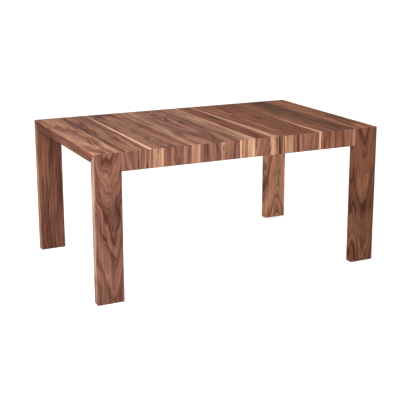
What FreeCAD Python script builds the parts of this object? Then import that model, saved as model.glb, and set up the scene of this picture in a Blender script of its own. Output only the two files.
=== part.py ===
import FreeCAD, Part
import math
import os

# Extending dining table in solid walnut. Two equal halves, each an end frame
# with half of the top, draw apart on geared slides. A carriage stays in the
# middle: it holds the centre rails, the pinions and the stored leaf.
# Millimetres. X runs along the table, Y across it and Z up. The origin is on
# the floor under the middle of the closed table.

Vector = FreeCAD.Vector
origin = Vector(0, 0, 0)
along_x = Vector(1, 0, 0)
along_y = Vector(0, 1, 0)
along_z = Vector(0, 0, 1)
eighth_turn = 45.0
half_turn = 180.0

# Driving sizes of the closed table
table_length = 1600.0
table_width = 1000.0
table_height = 750.0
opening_travel = 250.0

# End frames: two legs mitred to an end board
leg_width = 138.0
frame_thickness = 47.0
arris = 1.5
tongue_width = 24.0
tongue_thickness = 6.0
tongue_inset = 19.0
tongue_fit = 0.1

# Foot glides under the legs
glide_radius = 12.0
glide_height = 3.0
glide_spacing = 80.0
glide_sides = 12

# Top halves and the fascias mitred to them
board_thickness = 22.0
fascia_height = 94.0
seam_gap = 0.6

# Steel flats let into the underside, across the grain
stiffener_width = 30.0
stiffener_depth = 6.0
stiffener_end_margin = 60.0
stiffener_place_share = 0.3

# Glue blocks in the corner of top and fascia
glue_block_leg = 15.0
glue_block_length = 60.0
glue_block_place_shares = (0.15, 0.4, 0.65, 0.88)

# Seam pins and the holes for the pins of the other half
seam_pin_radius = 4.0
seam_pin_sides = 8
seam_pin_reach = 12.0
seam_pin_embed = 20.0
seam_hole_clearance = 0.3
seam_hole_spare = 2.0
pin_place_shares = (-0.6, 0.2)
hole_place_shares = (-0.2, 0.6)

# Cross rail behind the end board, notched for the leaf
cross_rail_thickness = 24.0
cross_rail_lift = 2.0
notch_side_clearance = 8.0
notch_top_clearance = 3.0
notch_radius = 8.0
dowel_radius = 4.0
dowel_embed = 12.0
dowel_length = 37.0

# Coach screws through the cross rail into the legs and the end board
bolt_shank_radius = 3.0
bolt_head_radius = 6.0
bolt_head_height = 4.0
bolt_grip = 36.0
leg_bolt_height_shares = (0.22, 0.78)
board_bolt_place_shares = (0.25, 0.7)

# Teeth of pinions and racks
gear_module = 2.5
pinion_teeth = 18
pressure_angle = 20.0
dedendum_share = 1.25
tooth_backlash = 0.1
pinion_thickness = 8.0
pinion_side_clearance = 0.4
pinion_bore_clearance = 0.08
pinion_pin_radius = 4.0
pinion_pin_embed = 12.0
pocket_clearance = 0.8
rack_height = 10.0
rack_body = 3.5
rack_spare_teeth = 2

# Slide rails with two dovetail tongues each
rail_width = 26.0
rail_side_gap = 1.0
rail_end_gap = 18.0
rail_nose = 5.0
rail_relief = 0.5
rail_bar_gap = 2.0
dovetail_offset = 14.5
dovetail_depth = 8.0
dovetail_neck = 6.0
dovetail_tip = 11.0
dovetail_clearance = 0.35

# Wood screws, with heads sunk flush. They are drawn without a thread, and
# small round pieces that sit inside the wood have flats in place of a round
small_round_sides = 6
screw_radius = 2.0
screw_head_radius = 4.0
screw_head_height = 2.5
rail_screw_embed = 12.0
rail_screw_place_shares = (0.2, 0.55, 0.9)

# Stop blocks that end the opening
stop_length = 16.0
stop_height = 10.0
stop_inset = 2.0
stop_gap = 0.3

# Carriage: centre rails, cross bars and leaf runners
centre_rail_length = 850.0
centre_rail_headroom = 3.0
cross_bar_width = 60.0
cross_bar_thickness = 12.0
cross_bar_inset = 45.0
ledge_width = 28.0
ledge_thickness = 4.0
fence_thickness = 3.0
fence_height = 14.0
lip_length = 11.5
leaf_side_clearance = 1.3
leaf_end_clearance = 0.5
leaf_headroom = 5.0
runner_rail_gap = 2.0

# Screws up through the cross bars, and down through the ledges
carriage_screw_grip = 14.0
runner_screw_grip = 9.0
carriage_screw_spread_share = 0.25

# Latches that hold the closed seam
latch_reach = 24.0
latch_rail_gap = 16.0
latch_drop = 3.0
latch_axial_clearance = 0.15
latch_bore_clearance = 0.15
latch_pin_radius = 2.0
latch_head_radius = 5.5
latch_head_height = 2.5
latch_embed = 12.0
lever_thickness = 3.0
lever_width = 14.0
lever_wall = 3.0
slot_clearance = 0.35
tab_thickness = 2.0
tab_height = 10.0
keeper_head_radius = 3.5

# One overrun serves every cut
overrun = 2.0

# Places that follow from the sizes above
half_length = table_length / 2
half_width = table_width / 2
half_seam = seam_gap / 2
frame_inner_x = half_length - leg_width
leg_inner_y = half_width - frame_thickness
fascia_inner_y = half_width - board_thickness
box_bottom_z = table_height - fascia_height
board_under_z = table_height - board_thickness
board_middle_z = table_height - board_thickness / 2
frame_under_z = table_height - frame_thickness

# The leaf fills the gap of the opened table, and is stored turned a quarter
leaf_width = 2 * opening_travel - seam_gap
leaf_length = table_width
leaf_top_z = frame_under_z - leaf_headroom
leaf_bottom_z = leaf_top_z - board_thickness
bar_top_z = leaf_bottom_z - ledge_thickness
bar_bottom_z = bar_top_z - cross_bar_thickness
rail_bottom_z = bar_top_z + rail_bar_gap
centre_rail_top_z = board_under_z - centre_rail_headroom
gear_z = (bar_top_z + centre_rail_top_z) / 2

# Gear circles, and the slide measured outwards from its middle plane
tooth_pitch = math.pi * gear_module
pinion_radius = gear_module * pinion_teeth / 2
pinion_tip_radius = pinion_radius + gear_module
pinion_root_radius = pinion_radius - dedendum_share * gear_module
base_radius = pinion_radius * math.cos(math.radians(pressure_angle))
slide_face = pinion_radius - gear_module
centre_rail_half = slide_face - rail_side_gap
rack_root = pinion_radius + dedendum_share * gear_module
rack_back = rack_root + rack_body
rack_teeth = math.ceil(opening_travel / tooth_pitch) + 2 * rack_spare_teeth
rack_start_x = -rack_spare_teeth * tooth_pitch
rack_end_x = rack_start_x + rack_teeth * tooth_pitch

# Slides stand outside the leaf runners
runner_outer_y = leaf_width / 2 + leaf_side_clearance + fence_thickness
slide_y = runner_outer_y + runner_rail_gap + rail_width + slide_face
rail_start_x = frame_inner_x - cross_rail_thickness - rail_end_gap
rail_end_x = rack_end_x + rail_nose
cross_rail_bottom_z = box_bottom_z + cross_rail_lift
cross_rail_inner_x = frame_inner_x - cross_rail_thickness
board_bolt_z = (frame_under_z + board_under_z) / 2
cross_bar_x = centre_rail_length / 2 - cross_bar_inset - cross_bar_width / 2
latch_y = slide_y + slide_face + rail_width + latch_rail_gap
lever_top_z = board_under_z - latch_drop
lever_bottom_z = lever_top_z - lever_thickness


def block(x_low, x_high, y_low, y_high, z_low, z_high):
    """A box between two corners."""
    corner = Vector(x_low, y_low, z_low)
    return Part.makeBox(x_high - x_low, y_high - y_low, z_high - z_low, corner)


def pushed(points, path):
    """A closed outline of points, pushed along a path."""
    return Part.Face(Part.makePolygon(points + points[:1])).extrude(path)


def profile_along_x(outline, x_low, x_high):
    """A section of (y, z) points, from one end to the other."""
    points = [Vector(x_low, y, z) for y, z in outline]
    return pushed(points, along_x * (x_high - x_low))


def plate(outline, z_low, z_high):
    """A plan of (x, y) points, from its underside to its top."""
    points = [Vector(x, y, z_low) for x, y in outline]
    return pushed(points, along_z * (z_high - z_low))


def rod_z(radius, x, y, z_low, z_high):
    """An upright round bar."""
    return Part.makeCylinder(radius, z_high - z_low, Vector(x, y, z_low), along_z)


def polar(radius, angle, z):
    """A point on a circle about the Z axis."""
    return Vector(radius * math.cos(angle), radius * math.sin(angle), z)


def sided_bar(sides, radius, foot, path):
    """A straight bar with flats, its corners on the radius."""
    corners = [polar(radius, 2 * math.pi * number / sides, 0) for number in range(sides)]
    bar = pushed(corners, along_z * path.Length)
    bar.Placement = FreeCAD.Placement(foot, FreeCAD.Rotation(along_z, path))
    return bar


def screw(seat, path):
    """A wood screw: the sunk head at its seat, then the shank along the path."""
    neck = path * (screw_head_height / path.Length)
    head = sided_bar(small_round_sides, screw_head_radius, seat, neck)
    return fused(head, sided_bar(small_round_sides, screw_radius, seat + neck, path - neck))


def group(shapes):
    """Separate solids that share one node."""
    return Part.makeCompound(shapes)


def fused(first, *others):
    """One clean solid from shapes that meet."""
    return first.fuse(list(others)).removeSplitter()


def eased(shape, chosen):
    """Take the sharp arris off each edge whose middle passes the test."""
    edges = [edge for edge in shape.Edges if chosen(edge.CenterOfMass)]
    return shape.makeChamfer(arris, edges)


def near(value, target):
    """True for two places that are the same but for rounding."""
    return math.isclose(value, target, abs_tol=arris / 1000)


# End frame

def mitre_wedge(x_low, x_high):
    """All that lies above the two mitre planes of the table's long edges."""
    rim_y = half_width + overrun
    outline = [(-rim_y, table_height + overrun), (rim_y, table_height + overrun),
               (0, table_height - half_width)]
    return profile_along_x(outline, x_low, x_high)


def end_frame():
    """The left portal in one piece: both legs and the end board."""
    outline = [(-half_width, table_height), (half_width, table_height),
               (half_width, glide_height), (leg_inner_y, glide_height),
               (leg_inner_y, frame_under_z), (-leg_inner_y, frame_under_z),
               (-leg_inner_y, glide_height), (-half_width, glide_height)]
    portal = profile_along_x(outline, -half_length, -frame_inner_x)

    def is_outer(middle):
        return not (near(abs(middle.y), leg_inner_y) and near(middle.z, frame_under_z))

    return eased(portal, is_outer)


def mitre_tongue(side, fit):
    """Loose tongue across the mitre of one leg, or with a fit its slot."""
    length = leg_width - 2 * tongue_inset + 2 * fit
    width = tongue_width + 2 * fit
    thickness = tongue_thickness + 2 * fit
    start_x = -half_length + tongue_inset - fit
    corner = Vector(start_x, -width / 2, -thickness / 2)
    tongue = Part.makeBox(length, width, thickness, corner)
    tongue.rotate(origin, along_x, -side * eighth_turn)
    middle_y = side * (half_width - frame_thickness / 2)
    tongue.translate(Vector(0, middle_y, table_height - frame_thickness / 2))
    return tongue


def bolt_places():
    """(y, z) of each frame bolt: two to a leg and four to the end board."""
    leg_bolt_y = (leg_inner_y + fascia_inner_y) / 2
    leg_span = frame_under_z - cross_rail_bottom_z
    places = []
    for side in (-1, 1):
        for share in leg_bolt_height_shares:
            places.append((side * leg_bolt_y, cross_rail_bottom_z + share * leg_span))
        for share in board_bolt_place_shares:
            places.append((side * share * leg_inner_y, board_bolt_z))
    return places


def frame_bolt(y, z):
    """A coach screw with its six-sided head against the cross rail."""
    seat = Vector(-cross_rail_inner_x, y, z)
    length = cross_rail_thickness + bolt_grip
    shank = sided_bar(small_round_sides, bolt_shank_radius, seat, along_x * -length)
    head = sided_bar(small_round_sides, bolt_head_radius, seat, along_x * bolt_head_height)
    return fused(shank, head)


def frame_bolts():
    """All eight coach screws of one half."""
    return group([frame_bolt(y, z) for y, z in bolt_places()])


def glide_places():
    """(x, y) of the glides, two under each leg."""
    leg_x = -half_length + leg_width / 2
    leg_y = half_width - frame_thickness / 2
    return [(leg_x + end * glide_spacing / 2, side * leg_y)
            for side in (-1, 1) for end in (-1, 1)]


def frame_pieces():
    """The two legs and the end board, cut at their mitres."""
    wedge = mitre_wedge(-half_length - overrun, -frame_inner_x + overrun)
    slots = group([mitre_tongue(side, tongue_fit) for side in (-1, 1)])
    frame = end_frame().cut([slots, frame_bolts()])
    front_leg, back_leg = sorted(frame.cut(wedge).Solids, key=lambda leg: leg.CenterOfMass.y)
    return {
        "end_board_left": frame.common(wedge),
        "leg_front_left": front_leg,
        "leg_back_left": back_leg,
        "mitre_tongues_left": group([mitre_tongue(side, 0) for side in (-1, 1)]),
    }


def foot_glide(x, y):
    """A nylon disc stuck under the leg."""
    return sided_bar(glide_sides, glide_radius, Vector(x, y, 0), along_z * glide_height)


# Half top with its fascias

def top_channel():
    """The left half top and both fascias in one piece."""
    outline = [(-half_width, table_height), (half_width, table_height),
               (half_width, box_bottom_z), (fascia_inner_y, box_bottom_z),
               (fascia_inner_y, board_under_z), (-fascia_inner_y, board_under_z),
               (-fascia_inner_y, box_bottom_z), (-half_width, box_bottom_z)]
    channel = profile_along_x(outline, -frame_inner_x, -half_seam)

    def is_outer(middle):
        on_skin = near(abs(middle.y), half_width) or near(middle.z, table_height)
        lengthwise = not near(middle.x, -half_seam) and not near(middle.x, -frame_inner_x)
        at_foot = near(middle.z, box_bottom_z)
        return (on_skin and not near(middle.x, -half_seam)) or (at_foot and lengthwise)

    return eased(channel, is_outer)


def stiffener_bars():
    """Two steel flats, flush with the underside of the top."""
    start_x = -frame_inner_x + stiffener_end_margin
    middle_y = stiffener_place_share * half_width
    half_bar = stiffener_width / 2
    return group([block(start_x, -stiffener_end_margin, side * middle_y - half_bar,
                        side * middle_y + half_bar, board_under_z, board_under_z + stiffener_depth)
                  for side in (-1, 1)])


def seam_pins():
    """Two steel pins out of the seam edge, drawn with narrow flats."""
    foot_x = -half_seam - seam_pin_embed
    path = along_x * (seam_pin_embed + seam_pin_reach)
    return group([sided_bar(seam_pin_sides, seam_pin_radius,
                            Vector(foot_x, share * half_width, board_middle_z), path)
                  for share in pin_place_shares])


def seam_holes():
    """Two holes in the seam edge for the pins of the other half."""
    depth = seam_pin_reach + seam_hole_spare
    radius = seam_pin_radius + seam_hole_clearance
    return group([sided_bar(seam_pin_sides, radius,
                            Vector(-half_seam - depth, share * half_width, board_middle_z),
                            along_x * (depth + overrun))
                  for share in hole_place_shares])


def glue_block(x, side):
    """A three-cornered block glued into the corner of top and fascia."""
    outline = [(side * fascia_inner_y, board_under_z),
               (side * (fascia_inner_y - glue_block_leg), board_under_z),
               (side * fascia_inner_y, board_under_z - glue_block_leg)]
    return profile_along_x(outline, x - glue_block_length / 2, x + glue_block_length / 2)


def rail_screws():
    """The screws up through the slide rails into the half top."""
    fixed_length = rail_start_x - half_seam
    rail_offset = slide_face + rail_width / 2
    path = along_z * (board_under_z + rail_screw_embed - rail_bottom_z)
    screws = []
    for offset in (-slide_y, slide_y):
        for share in rail_screw_place_shares:
            x = -rail_start_x + share * fixed_length
            screws.append(screw(Vector(x, offset - rail_offset, rail_bottom_z), path))
    return group(screws)


def dowel_places():
    """Heights of the two dowels at each end of the cross rail."""
    return ((cross_rail_bottom_z + frame_under_z) / 2, board_bolt_z)


def dowel(side, z):
    """A dowel from the end of the cross rail into the fascia."""
    middle_x = -frame_inner_x + cross_rail_thickness / 2
    end = Vector(middle_x, side * (fascia_inner_y + dowel_embed), z)
    return sided_bar(small_round_sides, dowel_radius, end, along_y * (-side * dowel_length))


def dowels():
    """All four dowels of one half."""
    return group([dowel(side, z) for side in (-1, 1) for z in dowel_places()])


def top_pieces():
    """The half top and its two fascias, cut at their mitres."""
    wedge = mitre_wedge(-frame_inner_x - overrun, overrun)
    latch_threads = [latch_thread(side * latch_y) for side in (-1, 1)]
    cuts = [stiffener_bars(), seam_pins(), seam_holes(), rail_screws(), dowels()] + latch_threads
    channel = top_channel().cut(cuts)
    front, back = sorted(channel.cut(wedge).Solids, key=lambda piece: piece.CenterOfMass.y)
    return {
        "top_left": channel.common(wedge),
        "fascia_front_left": front,
        "fascia_back_left": back,
        "stiffener_bars_left": stiffener_bars(),
        "seam_pins_left": seam_pins(),
        "glue_blocks_left": group([glue_block(-share * frame_inner_x, side)
                                   for side in (-1, 1) for share in glue_block_place_shares]),
    }


# Cross rail and what fastens it

def leaf_notch():
    """The way for the leaf through the cross rail, with round upper corners."""
    half_notch = leaf_width / 2 + notch_side_clearance
    top_z = leaf_top_z + notch_top_clearance
    low_x = -frame_inner_x - overrun
    high_x = -cross_rail_inner_x + overrun
    notch = block(low_x, high_x, -half_notch, half_notch, cross_rail_bottom_z - overrun, top_z)
    corners = [edge for edge in notch.Edges
               if near(edge.CenterOfMass.z, top_z) and near(abs(edge.CenterOfMass.y), half_notch)]
    return notch.makeFillet(notch_radius, corners)


def cross_rail():
    """Upright board between the fascias, bolted to legs and end board."""
    rail = block(-frame_inner_x, -cross_rail_inner_x, -fascia_inner_y, fascia_inner_y,
                 cross_rail_bottom_z, board_under_z)
    return rail.cut([leaf_notch(), frame_bolts(), dowels()])


def cross_rail_pieces():
    """The cross rail with its dowels and coach screws."""
    return {
        "cross_rail_left": cross_rail(),
        "cross_rail_dowels_left": dowels(),
        "frame_bolts_left": frame_bolts(),
    }


# Geared slides. Each slide has its middle plane at an offset in Y, and the
# left half's rail is always on the lower side of it, so both slides of the
# left half are the same part.

def dovetail(face_y, toward, middle_z, clearance):
    """Section of one tongue, or with a clearance of the groove for it."""
    neck = dovetail_neck / 2 + clearance
    tip = dovetail_tip / 2 + clearance
    tip_y = face_y + toward * (dovetail_depth + clearance)
    return [(face_y, middle_z - neck), (tip_y, middle_z - tip),
            (tip_y, middle_z + tip), (face_y, middle_z + neck)]


def slide_rail(offset):
    """A rail screwed under the half top, with two tongues and a rack groove."""
    face_y = offset - slide_face
    outer_y = face_y - rail_width
    lower = dovetail(face_y, 1, gear_z - dovetail_offset, 0)
    upper = dovetail(face_y, 1, gear_z + dovetail_offset, 0)
    outline = ([(outer_y, rail_bottom_z), (face_y, rail_bottom_z)] + lower + upper
               + [(face_y, board_under_z), (outer_y, board_under_z)])
    rail = profile_along_x(outline, -rail_start_x, rail_end_x)
    groove = block(rack_start_x, rack_end_x, offset - rack_back, face_y + overrun,
                   gear_z - rack_height / 2, gear_z + rack_height / 2)
    relief = block(-half_seam, rail_end_x + overrun, outer_y - overrun, face_y + overrun,
                   board_under_z - rail_relief, board_under_z + overrun)
    return rail.cut([groove, relief, rail_screws()])


def rack(offset):
    """A toothed bar in the slide rail, its tooth tips flush with the face."""
    slope = math.tan(math.radians(pressure_angle))
    half_at_pitch = tooth_pitch / 4 - tooth_backlash
    half_tip = half_at_pitch - gear_module * slope
    half_root = half_at_pitch + dedendum_share * gear_module * slope
    root_y = offset - rack_root
    tip_y = offset - slide_face
    outline = [(rack_start_x, offset - rack_back), (rack_start_x, root_y)]
    for tooth in range(rack_teeth):
        middle_x = rack_start_x + (tooth + 1 / 2) * tooth_pitch
        outline += [(middle_x - half_root, root_y), (middle_x - half_tip, tip_y),
                    (middle_x + half_tip, tip_y), (middle_x + half_root, root_y)]
    outline += [(rack_end_x, root_y), (rack_end_x, offset - rack_back)]
    return plate(outline, gear_z - rack_height / 2, gear_z + rack_height / 2)


def stop_block():
    """A block under the back slide rail, which meets the left cross bar."""
    bar_inner_x = cross_bar_x - cross_bar_width / 2
    outer_x = -(bar_inner_x - opening_travel - stop_gap)
    face_y = slide_y - slide_face
    return block(outer_x, outer_x + stop_length, face_y - rail_width + stop_inset,
                 face_y - stop_inset, rail_bottom_z - stop_height, rail_bottom_z)


def slide_pieces():
    """Slide rails, racks, screws and stop block of the left half."""
    return {
        "slide_rail_front_left": slide_rail(-slide_y),
        "slide_rail_back_left": slide_rail(slide_y),
        "rack_front_left": rack(-slide_y),
        "rack_back_left": rack(slide_y),
        "rail_screws_left": rail_screws(),
        "stop_block_left": stop_block(),
    }


# Pinion

def involute(angle):
    """The involute function of an angle."""
    return math.tan(angle) - angle


def tooth_half_angle(radius):
    """Half the angle that a pinion tooth covers at a radius."""
    at_pitch = (tooth_pitch / 4 - tooth_backlash) / pinion_radius
    flank = involute(math.acos(base_radius / radius))
    return at_pitch + involute(math.radians(pressure_angle)) - flank


def pinion_corners():
    """Plan of the teeth: a radial root, then the involute flank in two chords."""
    step = 2 * math.pi / pinion_teeth
    middle_radius = (base_radius + pinion_tip_radius) / 2
    wide = tooth_half_angle(base_radius)
    flank = [(pinion_root_radius, wide), (base_radius, wide),
             (middle_radius, tooth_half_angle(middle_radius)),
             (pinion_tip_radius, tooth_half_angle(pinion_tip_radius))]
    corners = []
    for tooth in range(pinion_teeth):
        centre = math.pi / 2 + tooth * step
        corners += [polar(radius, centre - angle, 0) for radius, angle in flank]
        corners += [polar(radius, centre + angle, 0) for radius, angle in reversed(flank)]
    return corners


def pinion(offset):
    """A spur pinion with a bore, one tooth pointing straight at each rack."""
    wheel = pushed(pinion_corners(), along_z * pinion_thickness)
    bore_radius = pinion_pin_radius + pinion_bore_clearance
    wheel = wheel.cut(rod_z(bore_radius, 0, 0, -overrun, pinion_thickness + overrun))
    wheel.translate(Vector(0, offset, gear_z - pinion_thickness / 2))
    return wheel


def pinion_pin(offset):
    """A steel pin pressed up through the centre rail."""
    top_z = gear_z + pinion_thickness / 2 + pinion_side_clearance + pinion_pin_embed
    return rod_z(pinion_pin_radius, 0, offset, bar_top_z, top_z)


# Carriage

def centre_rail(offset):
    """The middle member of a slide, grooved for a rail on each side."""
    rail = block(-centre_rail_length / 2, centre_rail_length / 2, offset - centre_rail_half,
                 offset + centre_rail_half, bar_top_z, centre_rail_top_z)
    cuts = [pinion_pin(offset)]
    for middle_z in (gear_z - dovetail_offset, gear_z + dovetail_offset):
        for toward in (-1, 1):
            face_y = offset - toward * slide_face
            outline = dovetail(face_y, toward, middle_z, dovetail_clearance)
            end_x = centre_rail_length / 2 + overrun
            cuts.append(profile_along_x(outline, -end_x, end_x))
    pocket_x = pinion_tip_radius + pocket_clearance
    pocket_half = pinion_thickness / 2 + pinion_side_clearance
    cuts.append(block(-pocket_x, pocket_x, offset - slide_face, offset + slide_face,
                      gear_z - pocket_half, gear_z + pocket_half))
    return rail.cut(cuts + [carriage_screws()])


def carriage_screws():
    """Two screws up into each centre rail at a bar, one down through each ledge."""
    spread = carriage_screw_spread_share * cross_bar_width
    ledge_y = runner_outer_y - fence_thickness - (ledge_width - fence_thickness) / 2
    up = along_z * (cross_bar_thickness + carriage_screw_grip)
    down = along_z * -(ledge_thickness + runner_screw_grip)
    screws = []
    for bar in (-1, 1):
        for side in (-1, 1):
            bar_x = bar * cross_bar_x
            screws.append(screw(Vector(bar_x - spread, side * slide_y, bar_bottom_z), up))
            screws.append(screw(Vector(bar_x + spread, side * slide_y, bar_bottom_z), up))
            screws.append(screw(Vector(bar_x, side * ledge_y, leaf_bottom_z), down))
    return group(screws)


def cross_bar(end):
    """A flat bar under both centre rails."""
    outer_y = slide_y + centre_rail_half
    bar = block(end * cross_bar_x - cross_bar_width / 2, end * cross_bar_x + cross_bar_width / 2,
                -outer_y, outer_y, bar_bottom_z, bar_top_z)
    return bar.cut(carriage_screws())


def leaf_runner(side):
    """A ledge with a fence and an end lip, on which the leaf lies."""
    leaf_end_x = leaf_length / 2
    end_x = leaf_end_x + leaf_end_clearance + lip_length
    fence_inner_y = runner_outer_y - fence_thickness
    inner_y = runner_outer_y - ledge_width
    fence_top_z = bar_top_z + ledge_thickness + fence_height
    outline = [(side * inner_y, bar_top_z), (side * runner_outer_y, bar_top_z),
               (side * runner_outer_y, fence_top_z), (side * fence_inner_y, fence_top_z),
               (side * fence_inner_y, leaf_bottom_z), (side * inner_y, leaf_bottom_z)]
    ledge = profile_along_x(outline, -leaf_end_x, end_x)
    lip_low_y = min(side * inner_y, side * runner_outer_y)
    lip = block(end_x - lip_length, end_x, lip_low_y, lip_low_y + ledge_width,
                bar_top_z, fence_top_z)
    return fused(ledge, lip).cut(carriage_screws())


def leaf():
    """The loose leaf, stored lengthwise, with holes for the seam pins."""
    board = block(-leaf_length / 2, leaf_length / 2, -leaf_width / 2, leaf_width / 2,
                  leaf_bottom_z, leaf_top_z)
    board = eased(board, lambda middle: True)
    radius = seam_pin_radius + seam_hole_clearance
    depth = seam_pin_reach + seam_hole_spare
    holes = []
    for share in pin_place_shares:
        for side in (-1, 1):
            bottom = Vector(side * share * leaf_length / 2, side * (leaf_width / 2 - depth),
                            (leaf_bottom_z + leaf_top_z) / 2)
            path = along_y * (side * (depth + overrun))
            holes.append(sided_bar(seam_pin_sides, radius, bottom, path))
    return board.cut(holes)


def carriage_pieces():
    """What stays in the middle when the table opens."""
    return {
        "centre_rail_front": centre_rail(-slide_y),
        "centre_rail_back": centre_rail(slide_y),
        "cross_bar_left": cross_bar(-1),
        "cross_bar_right": cross_bar(1),
        "leaf_runner_front": leaf_runner(-1),
        "leaf_runner_back": leaf_runner(1),
        "pinion_pins": group([pinion_pin(-slide_y), pinion_pin(slide_y)]),
        "carriage_screws": carriage_screws(),
        "pinion_front": pinion(-slide_y),
        "pinion_back": pinion(slide_y),
        "leaf": leaf(),
    }


# Latches. The lever hangs under the left half at the front and turns about
# its pivot until its slot holds the stud on the right half.

def latch_lever():
    """The lever, pointing outwards at rest, with its slot open on one side."""
    slot_half = latch_pin_radius + slot_clearance
    tip_reach = latch_reach + slot_half + lever_wall
    half_lever = lever_width / 2
    cut_y = half_lever / 2
    arm = plate([(-half_lever, -tip_reach), (half_lever, -tip_reach), (half_lever, cut_y),
                 (cut_y, half_lever), (-cut_y, half_lever), (-half_lever, cut_y)],
                lever_bottom_z, lever_top_z)
    hub = rod_z(latch_head_radius, 0, 0, lever_top_z, board_under_z - latch_axial_clearance)
    tab = block(-half_lever - tab_thickness, -half_lever, -tip_reach, -half_lever,
                lever_top_z - tab_height, lever_top_z)
    low_z = lever_bottom_z - overrun
    high_z = lever_top_z + overrun
    ring = rod_z(latch_reach + slot_half, 0, 0, low_z, high_z).cut(
        rod_z(latch_reach - slot_half, 0, 0, low_z, high_z))
    open_side = block(0, latch_reach, -latch_reach - slot_half, 0, low_z, high_z)
    slot = ring.common(open_side)
    seat = rod_z(slot_half, 0, -latch_reach, low_z, high_z)
    bore = rod_z(latch_pin_radius + latch_bore_clearance, 0, 0, low_z, board_under_z)
    lever = fused(arm, hub, tab).cut([slot, seat, bore])
    lever.translate(Vector(-latch_reach / 2, -latch_y, 0))
    return lever


def latch_thread(y):
    """The end of a latch stud that is screwed up into the half top."""
    foot = Vector(-latch_reach / 2, y, board_under_z)
    return sided_bar(small_round_sides, latch_pin_radius, foot, along_z * latch_embed)


def headed_stud(head_radius, y):
    """A stud under the half top, with a six-sided head just under the levers."""
    x = -latch_reach / 2
    head_top_z = lever_bottom_z - latch_axial_clearance
    stud = rod_z(latch_pin_radius, x, y, head_top_z, board_under_z)
    seat = Vector(x, y, head_top_z)
    head = sided_bar(small_round_sides, head_radius, seat, along_z * -latch_head_height)
    return fused(stud, head, latch_thread(y))


def latch_pieces():
    """The lever and pivot at the front, and the keeper at the back."""
    return {
        "latch_lever_front_left": latch_lever(),
        "latch_pivot_front_left": headed_stud(latch_head_radius, -latch_y),
        "latch_keeper_back_left": headed_stud(keeper_head_radius, latch_y),
    }


# The whole table

def left_half():
    """Every piece of the left half, by name."""
    pieces = {}
    pieces.update(frame_pieces())
    pieces["foot_glides_left"] = group([foot_glide(x, y) for x, y in glide_places()])
    pieces.update(top_pieces())
    pieces.update(cross_rail_pieces())
    pieces.update(slide_pieces())
    pieces.update(latch_pieces())
    return pieces


def turned_name(name):
    """The name of a left piece's twin on the right half."""
    twins = {"left": "right", "front": "back", "back": "front"}
    return "_".join(twins.get(word, word) for word in name.split("_"))


def turned(shape):
    """A copy turned half round the upright axis of the table."""
    twin = shape.copy()
    twin.rotate(origin, along_z, half_turn)
    return twin


table = left_half()
table.update({turned_name(name): turned(shape) for name, shape in left_half().items()})
table.update(carriage_pieces())

os.makedirs("parts", exist_ok=True)
for name, shape in table.items():
    shape.exportStep("parts/" + name + ".step")
print(len(table), "nodes,", sum(len(shape.Solids) for shape in table.values()), "solids")
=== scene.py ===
# %% [markdown]
# # An extending dining table in walnut
#
# The table is a plain box of wide planks: two end frames, each a board with
# two legs, and between them two half tops with aprons. Under the closed top
# lie wooden slides with racks and pinions, and a loose leaf. The CAD model
# gives every piece its place. This lesson gives each piece its finish.

# %% Load the CAD model and keep its box
import math
from collections import namedtuple

import bmesh
import bpy
from mathutils import Matrix, Vector


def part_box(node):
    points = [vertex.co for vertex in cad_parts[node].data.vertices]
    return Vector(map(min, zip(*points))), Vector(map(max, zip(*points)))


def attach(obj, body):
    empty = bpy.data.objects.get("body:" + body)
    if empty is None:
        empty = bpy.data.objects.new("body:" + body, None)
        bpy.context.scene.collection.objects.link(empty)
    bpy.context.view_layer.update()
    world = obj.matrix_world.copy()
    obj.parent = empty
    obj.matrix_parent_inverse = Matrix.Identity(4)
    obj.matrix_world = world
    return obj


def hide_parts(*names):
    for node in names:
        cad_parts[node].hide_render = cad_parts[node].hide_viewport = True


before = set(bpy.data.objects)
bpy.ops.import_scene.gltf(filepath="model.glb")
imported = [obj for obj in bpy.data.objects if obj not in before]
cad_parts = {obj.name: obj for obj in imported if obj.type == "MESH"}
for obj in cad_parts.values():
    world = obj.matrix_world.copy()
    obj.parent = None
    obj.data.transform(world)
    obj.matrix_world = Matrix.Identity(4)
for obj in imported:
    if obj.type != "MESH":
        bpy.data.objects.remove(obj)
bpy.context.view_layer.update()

# %% [markdown]
# ## Camera
#
# A camera could be placed by eye. This one is worked out from the corners of
# the table in the photograph, so that every edge falls where it should. Its
# shift is small, so other views stay well framed.

# %% Camera
camera_place = (-2.16596, -4.51497, 1.69147)
camera_looks_down = 13.29
camera_turns_right = 25.98

camera_data = bpy.data.cameras.new("camera")
camera_data.sensor_width = 36.0
camera_data.lens = 80.48
camera_data.shift_y = -0.101
camera = bpy.data.objects.new("camera", camera_data)
camera.location = camera_place
camera.rotation_euler = (math.radians(90 - camera_looks_down), 0, math.radians(-camera_turns_right))
bpy.context.scene.collection.objects.link(camera)
bpy.context.scene.camera = camera
bpy.context.scene.view_settings.view_transform = "Standard"
print("camera at", camera_place, "with a lens of", camera_data.lens)

# %% [markdown]
# ## Helpers
#
# Hex colours are written as they look on a screen, and the shader wants them
# linear, so one function converts them. Nodes could be set and linked line
# by line, but with one call for each a material reads like a list. Sockets
# have labels or numbers: in Map Range 0 is the value, 1 to 2 its range and 3
# to 4 the new range, and in a colour Mix 0 is the share, 6 and 7 the colours.

# %% Helpers for colours and nodes
def linear(hex_colour):
    """The linear colour of a hex value such as #8E6752."""
    parts = [int(hex_colour[i:i + 2], 16) / 255 for i in (1, 3, 5)]
    return tuple(c / 12.92 if c <= 0.04045 else ((c + 0.055) / 1.055) ** 2.4 for c in parts) + (1.0,)


def wire(tree, node, sockets):
    """Gives each socket its value, or links it to the result of a node."""
    for key, value in sockets.items():
        if isinstance(value, bpy.types.Node):
            # A Mix has its colour in output 2
            value = value.outputs[2 if value.type == "MIX" else 0]
        if isinstance(value, bpy.types.NodeSocket):
            tree.links.new(value, node.inputs[key])
        else:
            node.inputs[key].default_value = value


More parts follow.
